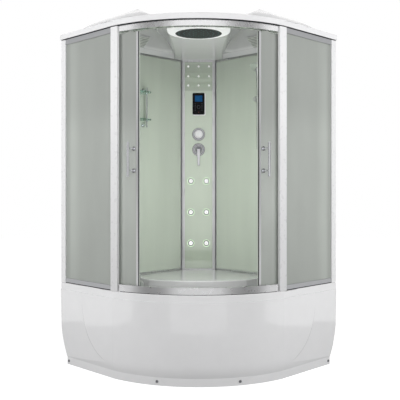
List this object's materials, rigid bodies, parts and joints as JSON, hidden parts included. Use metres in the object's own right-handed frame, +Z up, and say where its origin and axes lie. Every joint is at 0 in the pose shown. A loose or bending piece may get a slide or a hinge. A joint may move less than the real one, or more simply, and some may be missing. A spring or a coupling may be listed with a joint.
{
  "type": "hydromassage shower cabin",
  "caption": "Corner shower cabin with a deep tray, a curved front with two sliding doors, frosted side panels, a jet column and a domed roof.",
  "frame": {"origin": "on the floor, under the middle of the bounding box", "axes": "+X to the right seen from the front, +Y from the curved front towards the room corner, +Z up"},
  "size_m": [1.697, 1.3464, 2.15],
  "materials": {
    "acrylic_white": "glossy white sanitary acrylic",
    "frame_steel": "zinc-grey coated steel tube",
    "foot_plastic": "dark foot pads on threaded rods",
    "chrome_trim": "polished chrome plating",
    "waste_plastic": "white waste fittings",
    "grey_plastic": "satin grey plastic",
    "rail_aluminium": "satin to bright silver aluminium profile",
    "white_profile": "white powder coat on aluminium",
    "frosted_glass": "frosted grey safety glass",
    "back_glass": "glass painted pale green on its back",
    "column_glass": "glass painted pale green on its back",
    "white_plastic": "glossy white plastic",
    "black_plastic": "glossy black panel",
    "screen_glass": "blue backlit screen",
    "mixer_brass": "cast brass body, hidden behind the column",
    "shelf_glass": "clear glass with green edges",
    "seal_rubber": "dark magnetic seal",
    "wheel_plastic": "white roller plastic",
    "dark_plastic": "dark perforated plate"
  },
  "bodies": {
    "cabin": {"tray": "acrylic_white", "front_apron": "acrylic_white", "roof": "acrylic_white", "rain_housing": "acrylic_white", "tray_frame": "frame_steel", "leveling_feet": "foot_plastic", "apron_caps": "chrome_trim", "drain_body": "waste_plastic", "drain_trap": "waste_plastic", "overflow_cover": "grey_plastic", "bottom_rail": "rail_aluminium", "top_rail": "rail_aluminium", "front_posts": "white_profile", "wall_clips": "black_plastic", "wall_profiles": "rail_aluminium", "side_cross_profiles": "white_profile", "side_glass": "frosted_glass", "back_glass": "back_glass", "back_wall_frames": "rail_aluminium", "column_frame": "rail_aluminium", "column_glass": "column_glass", "neck_nozzles": "white_plastic", "control_panel": "black_plastic", "control_screen": "screen_glass", "mixer_body": "mixer_brass", "mixer_roses": "chrome_trim", "jet_housings": "white_plastic", "shelf_rack": "chrome_trim", "shelf_glass": "shelf_glass", "slide_bar": "chrome_trim", "rain_head": "dark_plastic", "speaker": "grey_plastic", "extractor_fan": "grey_plastic"},
    "left_door": {"left_door_glass": "frosted_glass", "left_door_profile": "rail_aluminium", "left_door_seal": "seal_rubber", "left_door_handle": "chrome_trim", "left_door_hangers": "grey_plastic"},
    "left_front_roller": {"left_front_wheel": "wheel_plastic"},
    "left_rear_roller": {"left_rear_wheel": "wheel_plastic"},
    "right_door": {"right_door_glass": "frosted_glass", "right_door_profile": "rail_aluminium", "right_door_seal": "seal_rubber", "right_door_handle": "chrome_trim", "right_door_hangers": "grey_plastic"},
    "right_front_roller": {"right_front_wheel": "wheel_plastic"},
    "right_rear_roller": {"right_rear_wheel": "wheel_plastic"},
    "waste_cap": {"drain_cap": "chrome_trim"},
    "diverter": {"diverter_knob": "white_plastic"},
    "temperature_cap": {"mixer_cap": "chrome_trim"},
    "flow_lever": {"mixer_lever": "chrome_trim"},
    "jet_ball_1": {"back_jet_1": "white_plastic"},
    "jet_ball_2": {"back_jet_2": "white_plastic"},
    "jet_ball_3": {"back_jet_3": "white_plastic"},
    "jet_ball_4": {"back_jet_4": "white_plastic"},
    "jet_ball_5": {"back_jet_5": "white_plastic"},
    "jet_ball_6": {"back_jet_6": "white_plastic"},
    "slider": {"shower_slider": "white_plastic"},
    "holder": {"shower_holder": "white_plastic"},
    "hand_spray": {"hand_shower": "white_plastic"}
  },
  "joints": [
    {"name": "left_door_slide", "type": "hinge", "parent": "cabin", "child": "left_door", "pos_m": [0, 0.09168, 1.2345], "axis": [0, 0, 1], "range_deg": [0, 26.38]},
    {"name": "right_door_slide", "type": "hinge", "parent": "cabin", "child": "right_door", "pos_m": [0, 0.09168, 1.2345], "axis": [0, 0, 1], "range_deg": [-26.38, 0]},
    {"name": "left_front_roller_spin", "type": "hinge", "parent": "left_door", "child": "left_front_roller", "pos_m": [-0.37297, -0.52857, 1.9522], "axis": [-0.5153, -0.857, 0], "continuous": true},
    {"name": "left_rear_roller_spin", "type": "hinge", "parent": "left_door", "child": "left_rear_roller", "pos_m": [-0.62747, -0.26901, 1.9522], "axis": [-0.867, -0.4984, 0], "continuous": true},
    {"name": "right_front_roller_spin", "type": "hinge", "parent": "right_door", "child": "right_front_roller", "pos_m": [0.37297, -0.52857, 1.9522], "axis": [0.5153, -0.857, 0], "continuous": true},
    {"name": "right_rear_roller_spin", "type": "hinge", "parent": "right_door", "child": "right_rear_roller", "pos_m": [0.62747, -0.26901, 1.9522], "axis": [0.867, -0.4984, 0], "continuous": true},
    {"name": "waste_cap_lift", "type": "slide", "parent": "cabin", "child": "waste_cap", "axis": [0, 0, 1], "range_m": [0, 0.006]},
    {"name": "diverter_turn", "type": "hinge", "parent": "cabin", "child": "diverter", "pos_m": [0, 0.51868, 1.45076], "axis": [0, -1, 0], "range_deg": [-90, 90]},
    {"name": "temperature_turn", "type": "hinge", "parent": "cabin", "child": "temperature_cap", "pos_m": [0, 0.51868, 1.34176], "axis": [0, -1, 0], "range_deg": [-45, 45]},
    {"name": "flow_lift", "type": "hinge", "parent": "temperature_cap", "child": "flow_lever", "pos_m": [0, 0.48818, 1.34176], "axis": [-1, 0, 0], "range_deg": [0, 25]},
    {"name": "jet_1_swivel", "type": "hinge", "parent": "cabin", "child": "jet_ball_1", "pos_m": [-0.055, 0.51868, 1.12005], "axis": [1, 0, 0], "range_deg": [-12, 12]},
    {"name": "jet_2_swivel", "type": "hinge", "parent": "cabin", "child": "jet_ball_2", "pos_m": [0.055, 0.51868, 1.12005], "axis": [1, 0, 0], "range_deg": [-12, 12]},
    {"name": "jet_3_swivel", "type": "hinge", "parent": "cabin", "child": "jet_ball_3", "pos_m": [-0.055, 0.51868, 0.89982], "axis": [1, 0, 0], "range_deg": [-12, 12]},
    {"name": "jet_4_swivel", "type": "hinge", "parent": "cabin", "child": "jet_ball_4", "pos_m": [0.055, 0.51868, 0.89982], "axis": [1, 0, 0], "range_deg": [-12, 12]},
    {"name": "jet_5_swivel", "type": "hinge", "parent": "cabin", "child": "jet_ball_5", "pos_m": [-0.055, 0.51868, 0.68034], "axis": [1, 0, 0], "range_deg": [-12, 12]},
    {"name": "jet_6_swivel", "type": "hinge", "parent": "cabin", "child": "jet_ball_6", "pos_m": [0.055, 0.51868, 0.68034], "axis": [1, 0, 0], "range_deg": [-12, 12]},
    {"name": "slider_travel", "type": "slide", "parent": "cabin", "child": "slider", "axis": [0, 0, 1], "range_m": [-0.24, 0.05]},
    {"name": "holder_tilt", "type": "hinge", "parent": "slider", "child": "holder", "pos_m": [0.41394, 0.15569, 1.65227], "axis": [-0.7071, 0.7071, 0], "range_deg": [-30, 0]},
    {"name": "hand_spray_lift", "type": "slide", "parent": "holder", "child": "hand_spray", "axis": [-0.0616, -0.0616, 0.9962], "range_m": [0, 0.06]}
  ],
  "couplings": [
    {"joint": "left_front_roller_spin", "follows": "left_door_slide", "ratio": -73.106},
    {"joint": "left_rear_roller_spin", "follows": "left_door_slide", "ratio": -73.106},
    {"joint": "right_front_roller_spin", "follows": "right_door_slide", "ratio": -73.106},
    {"joint": "right_rear_roller_spin", "follows": "right_door_slide", "ratio": -73.106}
  ]
}
